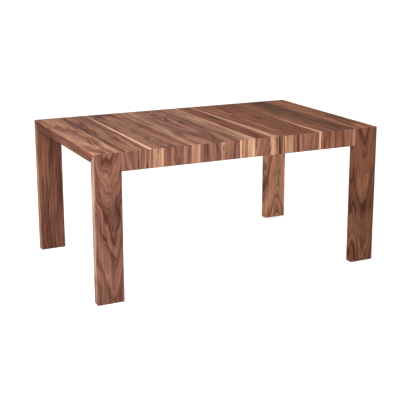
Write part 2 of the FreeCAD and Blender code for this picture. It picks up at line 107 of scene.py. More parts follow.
def add(tree, kind, sockets=None, **settings):
    """Adds one node, with its settings, values and links."""
    made = tree.nodes.new("ShaderNode" + kind)
    for name, value in settings.items():
        setattr(made, name, value)
    wire(tree, made, sockets or {})
    return made


def new_material(name):
    """An empty material, its node tree and its main shader."""
    material = bpy.data.materials.new(name)
    material.use_nodes = True
    tree = material.node_tree
    return material, tree, tree.nodes["Principled BSDF"]


print("linear walnut brown:", [round(part, 3) for part in linear("#8D614E")])

# %% [markdown]
# ## Paper floor
#
# The table stands on white paper. More lamps could whiten it, but they would
# flatten the wood. So the paper has a little light of its own, for the
# camera only, and keeps the soft shadow. Seen from below it is clear,
# because the slides are worth a look.

# %% Paper floor
floor_reach = 30.0
paper_glow = 0.7


def new_object(bm, name):
    """Makes an object of a bmesh, frees it and puts the object in the scene."""
    mesh = bpy.data.meshes.new(name)
    bm.to_mesh(mesh)
    bm.free()
    made = bpy.data.objects.new(name, mesh)
    bpy.context.scene.collection.objects.link(made)
    return made


bm = bmesh.new()
bmesh.ops.create_grid(bm, x_segments=4, y_segments=4, size=floor_reach)
floor = new_object(bm, "floor")

paper, tree, shader = new_material("studio paper")
from_camera = add(tree, "LightPath").outputs["Is Camera Ray"]
glow = add(tree, "Math", {0: from_camera, 1: paper_glow}, operation="MULTIPLY")
wire(tree, shader, {"Base Color": linear("#F2F1EF"), "Roughness": 0.9, "Specular IOR Level": 0.1,
                    "Emission Color": (1, 1, 1, 1), "Emission Strength": glow})
underside = add(tree, "NewGeometry").outputs["Backfacing"]
from_below = add(tree, "Math", {0: underside, 1: from_camera}, operation="MULTIPLY")
one_sided = add(tree, "MixShader", {0: from_below, 1: shader, 2: add(tree, "BsdfTransparent")})
wire(tree, tree.nodes["Material Output"], {"Surface": one_sided})
floor.data.materials.append(paper)
print("paper floor", 2 * floor_reach, "m wide")

# %% [markdown]
# ## White room
#
# A studio has white walls. They could be modelled, but a plain white world
# does the same. The camera and gloss see it fully white, and it lights the
# table only half as much, so that the lamps still shape the planks.

# %% White room
room_light = 0.48
room_seen = 1.0

world = bpy.data.worlds.new("white room")
bpy.context.scene.world = world
world.use_nodes = True
tree = world.node_tree
rays = add(tree, "LightPath")
sockets = {0: rays.outputs["Is Camera Ray"], 1: rays.outputs["Is Glossy Ray"]}
seen = add(tree, "Math", sockets, operation="MAXIMUM")
strength = add(tree, "MapRange", {0: seen, 3: room_light, 4: room_seen})
wire(tree, tree.nodes["Background"], {"Color": (1, 1, 1, 1), "Strength": strength})
print("room light:", room_light)

# %% [markdown]
# ## Lamps
#
# In the photograph the outer side of the near left leg is the lightest face,
# the top gets darker towards the far right, and the inner sides of the right
# legs are the darkest. Small lamps could do that, but with hard shadows. So
# a large lamp hangs at the front left, not much above the top, and a weaker
# one in front fills the aprons.
# Much of the lightness of the near left leg's outer side is painted light in its tone.

# %% Lamps
# The place and side of each lamp in metres, and its watts
lamps = {
    "key lamp": ((-2.5, -2.1, 2.45), 1.8, 151),
    "front lamp": ((1.6, -4.6, 1.6), 2.5, 38),
}
lamp_target = Vector((0, 0, 0.5))
for name, (place, size, power) in lamps.items():
    data = bpy.data.lights.new(name, "AREA")
    data.shape = "SQUARE"
    data.size = size
    data.energy = power
    lamp = bpy.data.objects.new(name, data)
    lamp.location = place
    lamp.rotation_euler = (lamp_target - Vector(place)).to_track_quat("-Z", "Y").to_euler()
    bpy.context.scene.collection.objects.link(lamp)
print("lamps:", ", ".join(lamps))

# %% [markdown]
# ## End grain
#
# Where a board is cut across, its fibres drink more oil and the face turns
# darker. These faces could have a material of their own, but a rounded
# corner would show a hard line. So every wood darkens by the direction of
# its surface, where that runs with the grain.

# %% End grain
end_grain_from = 0.75
# A Mix with these settings multiplies one colour by another
tint = {"data_type": "RGBA", "blend_type": "MULTIPLY"}


def darken_end_grain(tree, colour, along, end_tone):
    """The colour, times a tone where the surface looks along the grain."""
    normal = add(tree, "SeparateXYZ", {0: add(tree, "TexCoord").outputs["Normal"]})
    facing = add(tree, "Math", {0: normal.outputs[along]}, operation="ABSOLUTE")
    part = add(tree, "MapRange", {0: facing, 1: end_grain_from, 2: 1.0})
    return add(tree, "Mix", {0: part, 6: colour, 7: end_tone}, **tint)


print("end grain within", round(math.degrees(math.acos(end_grain_from))), "degrees")

# %% [markdown]
# ## Walnut: a point in its trunk
#
# The year rings of black walnut are tubes round the pith of the trunk, a
# little narrower towards one end, and a plank is a flat slice of them. Near
# the pith the slice shows nested arches, and beside it straight lines. A
# picture of wood would not fit at the edges and ends. So the material
# measures how far each point is from the pith of its own stave, and draws
# rings, streaks and sapwood by that one distance.

# %% A point in its trunk
# Cells of a noise in a metre: across, in depth and along
broad_cells = (13.0, 13.0, 3.6)
close_cells = (45.0, 45.0, 9.0)
# How far the rings wander, in metres
broad_reach = 0.023
close_reach = 0.009
stave_seed = 61.0
Trunk = namedtuple("Trunk", "grain shift seed length tapered close_wobble ring")


def in_trunk(tree, across, depth, along, start):
    """Where a point lies along its stave, and how far from its pith."""
    axes = add(tree, "SeparateXYZ", {0: add(tree, "TexCoord").outputs["Object"]})
    pith_place = add(tree, "Attribute", attribute_name="pith").outputs["Vector"]
    pith = add(tree, "SeparateXYZ", {0: pith_place})
    sides = {0: axes.outputs[across], 1: axes.outputs[depth]}
    grain = add(tree, "CombineXYZ", {**sides, 2: axes.outputs[along]})
    seed = add(tree, "Math", {0: pith.outputs[0], 1: stave_seed}, operation="MULTIPLY")
    shift = add(tree, "CombineXYZ", {1: seed})

    # The trunk wanders: broadly, and again more finely
    broad_place = add(tree, "VectorMath", {0: grain, 1: broad_cells, 2: shift}, operation="MULTIPLY_ADD")
    broad = add(tree, "TexNoise", {"Vector": broad_place, "Scale": 1.0, "Detail": 1.0})
    broad_wobble = add(tree, "MapRange", {0: broad, 3: -broad_reach, 4: broad_reach})
    close_place = add(tree, "VectorMath", {0: grain, 1: close_cells}, operation="MULTIPLY")
    close = add(tree, "TexNoise", {"Vector": close_place, "Scale": 1.0, "Detail": 2.0})
    close_wobble = add(tree, "MapRange", {0: close, 3: -close_reach, 4: close_reach})
    wobble = add(tree, "Math", {0: broad_wobble, 1: close_wobble}, operation="ADD")

    # The distance from the pith, less where the trunk gets thinner
    from_pith_x = add(tree, "Math", {0: sides[0], 1: pith.outputs[0]}, operation="SUBTRACT")
    from_pith_y = add(tree, "Math", {0: sides[1], 1: pith.outputs[1]}, operation="SUBTRACT")
    offset = add(tree, "CombineXYZ", {0: from_pith_x, 1: from_pith_y})
    radius = add(tree, "VectorMath", {0: offset}, operation="LENGTH").outputs["Value"]
    length = add(tree, "Math", {0: axes.outputs[along], 1: start}, operation="SUBTRACT")
    taper = add(tree, "Math", {0: length, 1: pith.outputs[2]}, operation="MULTIPLY")
    tapered = add(tree, "Math", {0: radius, 1: taper}, operation="SUBTRACT")
    ring = add(tree, "Math", {0: tapered, 1: wobble}, operation="ADD")
    return Trunk(grain, shift, seed, length, tapered, close_wobble, ring)


print("rings wander by up to", round(broad_reach + close_reach, 3), "m")

# %% [markdown]
# ## Walnut: heartwood
#
# Walnut is never one brown. One noise could vary it, but the real wood
# changes at several sizes at once: streaks about 17 mm wide that follow the
# rings, patches of 0.1 by 0.25 m, and here and there a thin dark line.

# %% Walnut heartwood
walnut_darker = (0.46, 0.375, 0.365, 1)
walnut_paler = (1.38, 1.38, 1.30, 1)
streaks_across = 60.0
streaks_along = 1.6
patch_cells = (9.0, 9.0, 4.0)
line_cells = (0.45, 1.7, 0.8)


def heartwood(tree, trunk):
    """The tone of a stave with streaks, patches and a few dark lines."""
    tone = add(tree, "Attribute", attribute_name="tone").outputs["Color"]
    by_ring = add(tree, "Math", {0: trunk.ring, 1: streaks_across}, operation="MULTIPLY")
    by_length = add(tree, "Math", {0: trunk.length, 1: streaks_along}, operation="MULTIPLY")
    streak_place = add(tree, "CombineXYZ", {0: by_ring, 1: trunk.seed, 2: by_length})
    sockets = {"Vector": streak_place, "Scale": 1.0, "Detail": 4.0, "Roughness": 0.68}
    streak = add(tree, "TexNoise", sockets)
    dark_part = add(tree, "MapRange", {0: streak, 1: 0.48, 2: 0.64}, interpolation_type="SMOOTHSTEP")
    pale_part = add(tree, "MapRange", {0: streak, 1: 0.50, 2: 0.34}, interpolation_type="SMOOTHSTEP")
    colour = add(tree, "Mix", {0: dark_part, 6: tone, 7: walnut_darker}, **tint)
    colour = add(tree, "Mix", {0: pale_part, 6: colour, 7: walnut_paler}, **tint)

    sockets = {0: trunk.grain, 1: patch_cells, 2: trunk.shift}
    patch_place = add(tree, "VectorMath", sockets, operation="MULTIPLY_ADD")
    patch = add(tree, "TexNoise", {"Vector": patch_place, "Scale": 1.0, "Detail": 1.0})
    patch_tone = add(tree, "MapRange", {0: patch, 1: 0.3, 2: 0.7, 3: 0.87, 4: 1.13})
    colour = add(tree, "Mix", {0: 1.0, 6: colour, 7: patch_tone}, **tint)

    # A line is where a broader pattern crosses its middle value
    line_place = add(tree, "VectorMath", {0: streak_place, 1: line_cells}, operation="MULTIPLY")
    line = add(tree, "TexNoise", {"Vector": line_place, "Scale": 1.0, "Detail": 1.0})
    from_middle = add(tree, "Math", {0: line, 1: 0.5}, operation="SUBTRACT")
    line_off = add(tree, "Math", {0: from_middle}, operation="ABSOLUTE")
    line_part = add(tree, "MapRange", {0: line_off, 1: 0.0, 2: 0.035, 3: 0.8, 4: 0.0})
    return add(tree, "Mix", {0: line_part, 6: colour, 7: walnut_darker}, **tint)


print("heartwood has streaks", round(1000 / streaks_across), "mm wide")

# %% [markdown]
# ## Walnut: year rings and sapwood
#
# Each year starts pale and ends in a thin dark line. Real rings are 2 to
# 6 mm wide, and here all are 6 mm, to show at all. Outside a certain ring
# lies the cream sapwood, which gives a stave its light edge. It could be a
# straight strip, but real sapwood follows a ring, so its border does too.

# %% Walnut rings and sapwood
ring_width = 0.006
ring_contrast = 0.35
walnut_sapwood = "#DFB18D"
sapwood_wander = 0.35
# A Mix with this setting goes from one colour to another
blend = {"data_type": "RGBA"}


def add_rings(tree, trunk, colour):
    """Year rings over the heartwood, and sapwood beyond one of them."""
    ring_count = add(tree, "Math", {0: trunk.ring, 1: ring_width}, operation="DIVIDE")
    ring_part = add(tree, "Math", {0: ring_count}, operation="FRACT")
    ring_line = add(tree, "Math", {0: ring_part, 1: 3.0}, operation="POWER")
    ring_dark = add(tree, "Math", {0: ring_line, 1: ring_contrast}, operation="MULTIPLY")
    colour = add(tree, "Mix", {0: ring_dark, 6: colour, 7: walnut_darker}, **tint)

    border = add(tree, "Attribute", attribute_name="sapwood").outputs["Vector"]
    sapwood = add(tree, "SeparateXYZ", {0: border})
    sockets = {0: trunk.close_wobble, 1: sapwood_wander, 2: trunk.tapered}
    smooth_ring = add(tree, "Math", sockets, operation="MULTIPLY_ADD")
    beyond = add(tree, "Math", {0: smooth_ring, 1: sapwood.outputs[0]}, operation="SUBTRACT")
    # The border is soft over 4 mm
    sap_part = add(tree, "MapRange", {0: beyond, 1: -0.003, 2: 0.001, 3: 0.0, 4: sapwood.outputs[1]})
    return add(tree, "Mix", {0: sap_part, 6: colour, 7: linear(walnut_sapwood)}, **blend)


print("rings are", ring_width * 1000, "mm wide")

# %% [markdown]
# ## Walnut: fibres, pores and oil
#
# From close by, planed walnut shows nearly straight fibres and short dark
# pores, the cut vessels. A bump alone could hint at them, but oil darkens
# them too and leaves a satin gloss, so they change the colour, the gloss and
# the relief. Pores are 0.2 mm wide, and drawn 0.7 mm wide, to show.

# %% Walnut
fine_cells = (190.0, 190.0, 1.6)
fibre_cells = (700.0, 700.0, 14.0)
pore_cells = (1400.0, 1400.0, 120.0)
walnut_end_grain = (0.62, 0.56, 0.52, 1)


def walnut(name, across, depth, along, start):
    """Oiled walnut with its grain along one axis, from a start place."""
    material, tree, shader = new_material(name)
    trunk = in_trunk(tree, across, depth, along, start)
    grain = trunk.grain
    colour = add_rings(tree, trunk, heartwood(tree, trunk))

    # Fine streaks 5 mm wide, fibres 1.4 mm wide and 70 mm long, pores 8 mm long
    sockets = {0: grain, 1: fine_cells, 2: trunk.shift}
    fine_place = add(tree, "VectorMath", sockets, operation="MULTIPLY_ADD")
    fine = add(tree, "TexNoise", {"Vector": fine_place, "Scale": 1.0, "Detail": 2.0, "Roughness": 0.6})
    fine_tone = add(tree, "MapRange", {0: fine, 1: 0.3, 2: 0.7, 3: 0.68, 4: 1.32})
    colour = add(tree, "Mix", {0: 1.0, 6: colour, 7: fine_tone}, **tint)
    fibre_place = add(tree, "VectorMath", {0: grain, 1: fibre_cells}, operation="MULTIPLY")
    fibre = add(tree, "TexNoise", {"Vector": fibre_place, "Scale": 1.0, "Detail": 3.0, "Roughness": 0.6})
    fibre_tone = add(tree, "MapRange", {0: fibre, 1: 0.25, 2: 0.75, 3: 0.78, 4: 1.22})
    colour = add(tree, "Mix", {0: 1.0, 6: colour, 7: fibre_tone}, **tint)
    pore_place = add(tree, "VectorMath", {0: grain, 1: pore_cells}, operation="MULTIPLY")
    pore = add(tree, "TexNoise", {"Vector": pore_place, "Scale": 1.0, "Detail": 0.0})
    pore_part = add(tree, "MapRange", {0: pore, 1: 0.66, 2: 0.76, 3: 0.0, 4: 0.6})
    colour = add(tree, "Mix", {0: pore_part, 6: colour, 7: walnut_darker}, **tint)
    colour = darken_end_grain(tree, colour, along, walnut_end_grain)

    gloss = add(tree, "MapRange", {0: fibre, 1: 0.3, 2: 0.7, 3: 0.55, 4: 0.68})
    relief = add(tree, "Math", {0: fibre, 1: pore_part}, operation="SUBTRACT")
    bump = add(tree, "Bump", {"Strength": 0.25, "Distance": 0.0002, "Height": relief})
    wire(tree, shader, {"Base Color": colour, "Roughness": gloss, "Normal": bump,
                        "Specular IOR Level": 0.04})
    return material


walnut_crosswise = walnut("oiled walnut, grain across the table", "X", "Z", "Y", 0.0)
walnut_upright = walnut("oiled walnut, grain upright", "X", "Y", "Z", 0.7)
walnut_lengthwise = walnut("oiled walnut, grain along the table", "Y", "Z", "X", 0.0)
print("walnut in three directions")

# %% [markdown]
# ## Staves
#
# A wide solid top is glued up from staves, each with its own colour and cut.
# One pattern for the whole top would lose that. So each stave is a real cut
# in the mesh, and its faces carry three values for the material: the tone,
# where the pith was, and from which ring on it is sapwood and how pale.

# %% Tones and staves
tones = {
    "mid": "#8D614E", "red": "#875944", "dark": "#744C3A", "deep": "#764D3D",
    # On the next line, pale is painted light, for the lit outer side of the near left leg.
    "light": "#A37962", "tan": "#AF8266", "pale": "#A28374", "fawn": "#A7785E",
    "shade": "#795244", "brown": "#89553F", "russet": "#834F38", "umber": "#6D412B",
    # On the next line, sand is partly a paler walnut and partly painted light, for the far right leg
    # where the top shades it.
    "honey": "#955E41", "sand": "#D2997B", "plum": "#6E483A", "taupe": "#80594A",
}
Stave = namedtuple("Stave", "edge tone sideways deep taper sapwood paleness", defaults=(0, 0))
# In mm, as the staves and the turned shapes are
metre = 1000
# Corners that lie nearer to each other than this are one
welded = 1e-6
table_end_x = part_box("end_board_right")[1].x
end_zone = 0.01
farther_pith = 150
# A border that no board reaches
no_sapwood = 9.0


def set_staves(bm, rows, across, surface, inward, end_tone):
    """Cuts a board at the glue lines and gives each stave its values.

    A row is the right edge of a stave in mm, its tone, the pith's offset
    sideways and its depth in mm, the taper, and where there is sapwood, its
    width on the side away from the pith and how pale it is. The outer end of
    the board has its own tone, on the near left leg painted light, and a pith
    farther off, for straight grain.
    """
    axis = "XYZ".index(across)
    staves = [Stave(*row) for row in rows]
    edges = [stave.edge / metre for stave in staves]
    low = min(vert.co[axis] for vert in bm.verts)
    high = max(vert.co[axis] for vert in bm.verts)
    normal = Vector((axis == 0, axis == 1, axis == 2))
    for edge in edges[:-1]:
        geometry = bm.verts[:] + bm.edges[:] + bm.faces[:]
        bmesh.ops.bisect_plane(bm, geom=geometry, dist=welded, plane_co=normal * edge, plane_no=normal)
    tone_layer = bm.faces.layers.float_vector.new("tone")
    pith_layer = bm.faces.layers.float_vector.new("pith")
    sapwood_layer = bm.faces.layers.float_vector.new("sapwood")
    for face in bm.faces:
        middle = face.calc_center_median()[axis]
        number = next((i for i, edge in enumerate(edges) if middle < edge), len(edges) - 1)
        stave = staves[number]
        left = edges[number - 1] if number else low
        right = min(edges[number], high)
        at_end = abs(face.normal[axis]) > 0.9 and abs(middle) > table_end_x - end_zone
        # On the outer side of the near left leg this end tone is painted light.
        face[tone_layer] = linear(tones[end_tone if at_end else stave.tone])[:3]
        centre = (left + right) / 2 + stave.sideways / metre
        pith_depth = (stave.deep + (farther_pith if at_end else 0)) / metre
        face[pith_layer] = (centre, surface + inward * pith_depth, stave.taper)
        heart = abs(stave.sideways) / metre + (right - left) / 2 - stave.sapwood / metre
        border = math.hypot(heart, stave.deep / metre) if stave.sapwood else no_sapwood
        face[sapwood_layer] = (border, stave.paleness, 0)


print("tones of walnut:", len(tones))

# %% [markdown]
# ## Mitred boards
#
# At each long edge of the table the boards meet in a mitre, so the grain of
# the top seems to run down the side. Each board could be made alone, as a
# joiner does. It is easier to make one upside-down U, round its outer edges,
# and saw it along the mitres: the rounding then runs over both boards.

# %% One U with rounded edges
half_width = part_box("leg_back_left")[1].y
table_top_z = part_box("top_left")[1].z


def upside_down_u(x_low, x_high, inner_y, under_z, foot_z):
    """A closed U of boards across the table."""
    outline = [(-half_width, table_top_z), (half_width, table_top_z), (half_width, foot_z),
               (inner_y, foot_z), (inner_y, under_z), (-inner_y, under_z),
               (-inner_y, foot_z), (-half_width, foot_z)]
    bm = bmesh.new()
    face = bm.faces.new([bm.verts.new((x_low, y, z)) for y, z in outline])
    pushed = bmesh.ops.extrude_face_region(bm, geom=[face])["geom"]
    moved = [item for item in pushed if isinstance(item, bmesh.types.BMVert)]
    bmesh.ops.translate(bm, verts=moved, vec=(x_high - x_low, 0, 0))
    bmesh.ops.recalc_face_normals(bm, faces=bm.faces)
    return bm


def round_edges(bm, chosen, radius, segments=4):
    """Rounds each edge whose middle passes the test."""
    edges = [edge for edge in bm.edges if chosen((edge.verts[0].co + edge.verts[1].co) / 2)]
    made = bmesh.ops.bevel(bm, geom=edges, offset=radius, offset_type="OFFSET", affect="EDGES",
                           segments=segments, profile=0.5, material=-1, clamp_overlap=True)
    for face in made["faces"]:
        face.smooth = True


print("the U is", round(2 * half_width, 3), "by", round(table_top_z, 3), "m")

# %% [markdown]
# ## Three boards from one U
#
# The boards could be drawn face by face, but a cutting plane works as a saw
# does. Once it keeps what lies below the mitre, and once what lies above.
# Then each board gets its staves and its walnut, and takes the place of its
# CAD node.

# %% Saw a U apart
# The pale end tone is painted light on the lit outer side of the near left leg.
end_tones = {
    "leg_front_left": "pale", "leg_back_left": "light",
    "end_board_left": "deep", "end_board_right": "deep",
}


def saw(bm, side, keep_top):
    """Cuts along the mitre plane of one long edge and closes the cut."""
    geometry = bm.verts[:] + bm.edges[:] + bm.faces[:]
    corner = (0, side * half_width, table_top_z)
    cut = bmesh.ops.bisect_plane(bm, geom=geometry, dist=welded, plane_co=corner, plane_no=(0, -side, 1),
                                 clear_inner=keep_top, clear_outer=not keep_top)
    edges = [item for item in cut["geom_cut"] if isinstance(item, bmesh.types.BMEdge)]
    bmesh.ops.holes_fill(bm, edges=edges, sides=0)


def finish_piece(bm, name, body, slot, material, *nodes):
    """Makes the object, gives it its finish and lets it stand for its nodes."""
    piece = new_object(bm, name)
    piece.data.materials.append(material)
    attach(piece, body)
    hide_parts(*nodes)
    return piece


def saw_apart(whole, half, side_name, top_name, staves):
    """Saws a U into its three boards, finishes them and returns the top one."""
    body = half + "_half"
    for side, place in ((-1, "front_"), (1, "back_")):
        bm = whole.copy()
        saw(bm, side, keep_top=False)
        name = side_name + place + half
        set_staves(bm, staves[name], "X", side * half_width, -side, end_tones.get(name, "mid"))
        finish_piece(bm, "walnut_" + name, body, "walnut", walnut_upright, name)
    for side in (-1, 1):
        saw(whole, side, keep_top=True)
    name = top_name + half
    set_staves(whole, staves[name], "X", table_top_z, -1, end_tones.get(name, "mid"))
    return finish_piece(whole, "walnut_" + name, body, "walnut", walnut_crosswise, name)


print("ends with a tone of their own:", len(end_tones))

# %% [markdown]
# ## End frames
#
# Each end frame is a board of 47 mm with two legs of the same stock. A leg
# could be a box of its own, but from one U it shares the mitre. The wide
# faces of the legs show arches, so their pith lies close behind the face.
# The board on top is glued from two staves.

# %% End frames
frame_staves = {
    "leg_front_left": [(900, "shade", 10, 55, 0.14)],
    "leg_back_left": [(900, "plum", -74, 60, 0.03)],
    "leg_front_right": [(900, "dark", -8, 34, 0.15)],
    # The far right leg is partly a paler walnut and partly painted light, to look lit where the top
    # shades it.
    "leg_back_right": [(900, "sand", 10, 24, -0.16)],
    "end_board_left": [(-735, "fawn", 30, 60, 0.03), (-600, "fawn", -60, 60, 0.02, 8, 0.08)],
    "end_board_right": [(750, "honey", 50, 60, -0.02, 12, 0.15), (900, "honey", -40, 50, 0.03)],
}
edge_radius = 0.0015
near = 1e-5


def in_end_frame(half):
    """One U with all but its inner corners rounded, ready to saw."""
    low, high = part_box("end_board_" + half)
    leg_low, leg_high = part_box("leg_front_" + half)
    inner_y = -leg_high.y

    def is_rounded(middle):
        return abs(abs(middle.y) - inner_y) > near or abs(middle.z - low.z) > near

    bm = upside_down_u(low.x, high.x, inner_y, low.z, leg_low.z)
    round_edges(bm, is_rounded, edge_radius)
    return bm


for half in ("left", "right"):
    saw_apart(in_end_frame(half), half, "leg_", "end_board_", frame_staves)
print("boards of the end frames:", len(frame_staves))

# %% [markdown]
# ## Staves of the half tops and aprons
#
# The half tops are glued from staves, and pale sapwood edges make the cream
# lines. Random staves would do for any table, but these follow the
# photograph from left to right. The front aprons match the top only here and
# there, and the back ones match it fully.

# %% Staves of the half tops and aprons
top_staves = {
    "top_left": [
        (-636, "dark", 90, 40, 0.01), (-503, "mid", -50, 45, 0.012, 10, 1.0),
        (-352, "mid", 12, 30, -0.05), (-305, "red", 40, 40, 0.03),
        (-225, "light", 120, 60, 0.01), (-50, "mid", -10, 30, 0.06),
        (-36, "dark", 80, 60, 0.0), (-19, "light", 120, 60, 0.0),
        (-12, "red", 80, 60, 0.0), (16, "light", -90, 40, 0.0),
    ],
    "top_right": [
        (16, "light", -90, 40, 0.0), (58, "tan", -70, 60, 0.012, 20, 0.3),
        (146, "russet", -60, 40, 0.02), (300, "brown", 150, 60, 0.026, 28, 0.45),
        (434, "russet", -10, 32, 0.05), (530, "brown", 60, 50, 0.034, 1, 0.85),
        (900, "umber", 16, 32, -0.06),
    ],
    "fascia_front_left": [
        (-598, "taupe", 90, 30, 0.1), (-524, "taupe", -80, 40, 0.06),
        (-448, "light", -120, 60, 0.01, 5, 0.6), (-298, "taupe", 10, 20, 0.09),
        (-250, "light", -120, 40, 0.01, 6, 0.3), (-137, "taupe", 84, 34, 0.14),
        (-105, "light", 90, 40, 0.02), (-30, "taupe", -60, 30, 0.12),
        (14, "tan", 100, 60, 0.0, 8, 0.6),
    ],
    "fascia_front_right": [
        (14, "tan", 100, 60, 0.0), (56, "tan", -90, 60, 0.0, 44, 0.5),
        (146, "mid", -70, 34, 0.2), (192, "light", 100, 60, 0.0, 30, 0.2),
        (215, "dark", -90, 40, 0.0), (300, "light", 130, 60, 0.02),
        (436, "mid", 14, 24, 0.12), (449, "light", 100, 60, 0.0, 10, 0.9),
        (517, "red", 60, 40, 0.04), (572, "mid", -60, 40, 0.03),
        (623, "red", 70, 40, 0.05), (900, "mid", -110, 50, 0.02, 8, 0.3),
    ],
}
for half in ("left", "right"):
    top_staves["fascia_back_" + half] = top_staves["top_" + half]
print("staves:", {name: len(rows) for name, rows in top_staves.items()})

# %% [markdown]
# ## Half tops and aprons
#
# A half top of 22 mm is mitred to an apron in front and one behind, so they
# are sawn from one U again. Its end at the seam could be rounded like the
# rest, but the closed table would show a gap. So it stays sharp, and the two
# halves almost touch.

# %% Half tops and aprons
seam_x = {"left": -0.00005, "right": 0.00005}


def in_half_top(half):
    """One U with its skin and its lower edges rounded, ready to saw."""
    low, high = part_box("top_" + half)
    apron_low, apron_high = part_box("fascia_front_" + half)
    seam = seam_x[half]
    frame_x = low.x if half == "left" else high.x

    def is_rounded(middle):
        at_seam = abs(middle.x - seam) < near
        on_skin = abs(abs(middle.y) - half_width) < near or abs(middle.z - table_top_z) < near
        lower_edge = abs(middle.z - apron_low.z) < near and abs(middle.x - frame_x) > near
        return not at_seam and (on_skin or lower_edge)

    bm = upside_down_u(min(frame_x, seam), max(frame_x, seam), -apron_high.y, low.z, apron_low.z)
    round_edges(bm, is_rounded, edge_radius)
    return bm


tops = {}
for half in ("left", "right"):
    tops[half] = saw_apart(in_half_top(half), half, "fascia_", "top_", top_staves)
print("half tops and aprons:", len(top_staves))

# %% [markdown]
# ## Places of small pieces
#
# A CAD node can hold several solids, such as all screws of one half. Their
# places could be typed in, but would go wrong when the CAD changes. So each
# solid is found by walking along its edges, and its box is measured.

# %% Places of small pieces
Solid = namedtuple("Solid", "low high middle wide_z height")


def solids(node):
    """The box of each solid of a node, its wide end, and its height in mm.

    The wide end is where the corners lie farthest from the middle, so for
    an upright screw wide_z is the level of its head.
    """
    bm = bmesh.new()
    bm.from_mesh(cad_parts[node].data)
    bmesh.ops.remove_doubles(bm, verts=bm.verts, dist=welded)
    unseen = set(bm.verts)
    found = []
    while unseen:
        queue = [unseen.pop()]
        places = []
        while queue:
            vert = queue.pop()
            places.append(vert.co.copy())
            for edge in vert.link_edges:
                other = edge.other_vert(vert)
                if other in unseen:
                    unseen.remove(other)
                    queue.append(other)
        low = Vector([min(values) for values in zip(*places)])
        high = Vector([max(values) for values in zip(*places)])
        middle = (low + high) / 2
        reach = max((place - middle).xy.length for place in places)
        wide = [place.z for place in places if (place - middle).xy.length > 0.9 * reach]
        height = (high.z - low.z) * metre
        found.append(Solid(low, high, middle, sum(wide) / len(wide), height))
    bm.free()
    return sorted(found, key=lambda solid: tuple(solid.low))


pins = {half: solids("seam_pins_" + half) for half in ("left", "right")}
for half, found in pins.items():
    print("seam pins", half, [round(pin.middle.y, 3) for pin in found])

# %% [markdown]
# ## Grooves in the half tops
#
# Steel flats across the grain keep a half top flat, and lie in grooves of
# its underside. A groove could be a dark spot in the material, but a real
# one also looks right from close by, so a Boolean takes it out.

# %% Grooves in the half tops
groove_gap = Vector((0.0002, 0.0002, 0))
groove_over = Vector((0, 0, 0.001))


def drill(piece, cutter):
    """Takes the shape of a bmesh out of a piece."""
    tool = new_object(cutter, "cutter")
    change = piece.modifiers.new("hole", "BOOLEAN")
    change.operation = "DIFFERENCE"
    change.solver = "EXACT"
    change.object = tool
    drilled = piece.evaluated_get(bpy.context.evaluated_depsgraph_get())
    whole = piece.data
    piece.data = bpy.data.meshes.new_from_object(drilled)
    piece.modifiers.clear()
    bpy.data.objects.remove(tool)
    bpy.data.meshes.remove(whole)


def block(low, high):
    """A closed box between two corners, as a bmesh."""
    bm = bmesh.new()
    bmesh.ops.create_cube(bm, size=1.0)
    bmesh.ops.scale(bm, verts=bm.verts, vec=Vector(high) - Vector(low))
    bmesh.ops.translate(bm, verts=bm.verts, vec=(Vector(low) + Vector(high)) / 2)
    return bm


for half, top in tops.items():
    for bar in solids("stiffener_bars_" + half):
        drill(top, block(bar.low - groove_gap - groove_over, bar.high + groove_gap))
print("grooved half tops:", len(tops))

# %% [markdown]
# ## Holes for the seam pins
#
# The pins of one half go into holes in the seam edge of the other. They
# could be left out, as the closed table hides them, but open it would show
# pins with nowhere to go. So a round bar is taken out for each.

# %% Holes for the seam pins
pin_hole_radius = 0.0043
pin_hole_depth = 0.014
cut_over = 0.002


def round_bar(radius, start, end):
    """A closed round bar between two points, as a bmesh."""
    path = end - start
    bm = bmesh.new()
    bmesh.ops.create_cone(bm, cap_ends=True, segments=24, radius1=radius, radius2=radius,
                          depth=path.length)
    turn = path.to_track_quat("Z", "Y").to_matrix().to_4x4()
    bmesh.ops.transform(bm, verts=bm.verts, matrix=Matrix.Translation((start + end) / 2) @ turn)
    return bm


for half, other_half, inward in (("left", "right", -1), ("right", "left", 1)):
    for pin in pins[other_half]:
        start = Vector((seam_x[half] - inward * cut_over, pin.middle.y, pin.middle.z))
        end = Vector((seam_x[half] + inward * pin_hole_depth, pin.middle.y, pin.middle.z))
        drill(tops[half], round_bar(pin_hole_radius, start, end))
print("seam pin holes", round(2000 * pin_hole_radius, 1), "mm wide")

# %% [markdown]
# ## The loose leaf
#
# The leaf is a plain walnut board whose long edges have holes for the pins
# of the half tops. It could lie in the open table, with its grain across,
# but the CAD model stores it under the closed top, a quarter turn round. So
# its grain and its staves lie along the table.

# %% Leaf
leaf_staves = [
    (-172, "mid", 20, 30, 0.03), (-96, "red", 70, 40, 0.01),
    (-20, "dark", -16, 30, 0.04), (62, "light", -90, 50, 0.01, 9, 0.8),
    (148, "mid", 12, 28, -0.04), (900, "red", -60, 40, 0.02),
]
leaf_low, leaf_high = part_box("leaf")
bm = block(leaf_low, leaf_high)
round_edges(bm, lambda middle: True, edge_radius)
set_staves(bm, leaf_staves, "Y", leaf_high.z, -1, "mid")
leaf = finish_piece(bm, "walnut_leaf", "leaf", "walnut", walnut_lengthwise, "leaf")
leaf_middle_z = (leaf_low.z + leaf_high.z) / 2
for half, edge_y, outward in (("left", leaf_high.y, 1), ("right", leaf_low.y, -1)):
    for pin in pins[half]:
        # What lies across the open table lies along the stored leaf
        start = Vector((pin.middle.y, edge_y + outward * cut_over, leaf_middle_z))
        end = start - Vector((0, outward * (pin_hole_depth + cut_over), 0))
        drill(leaf, round_bar(pin_hole_radius, start, end))
print("leaf of", [round(side, 3) for side in leaf_high - leaf_low], "m")

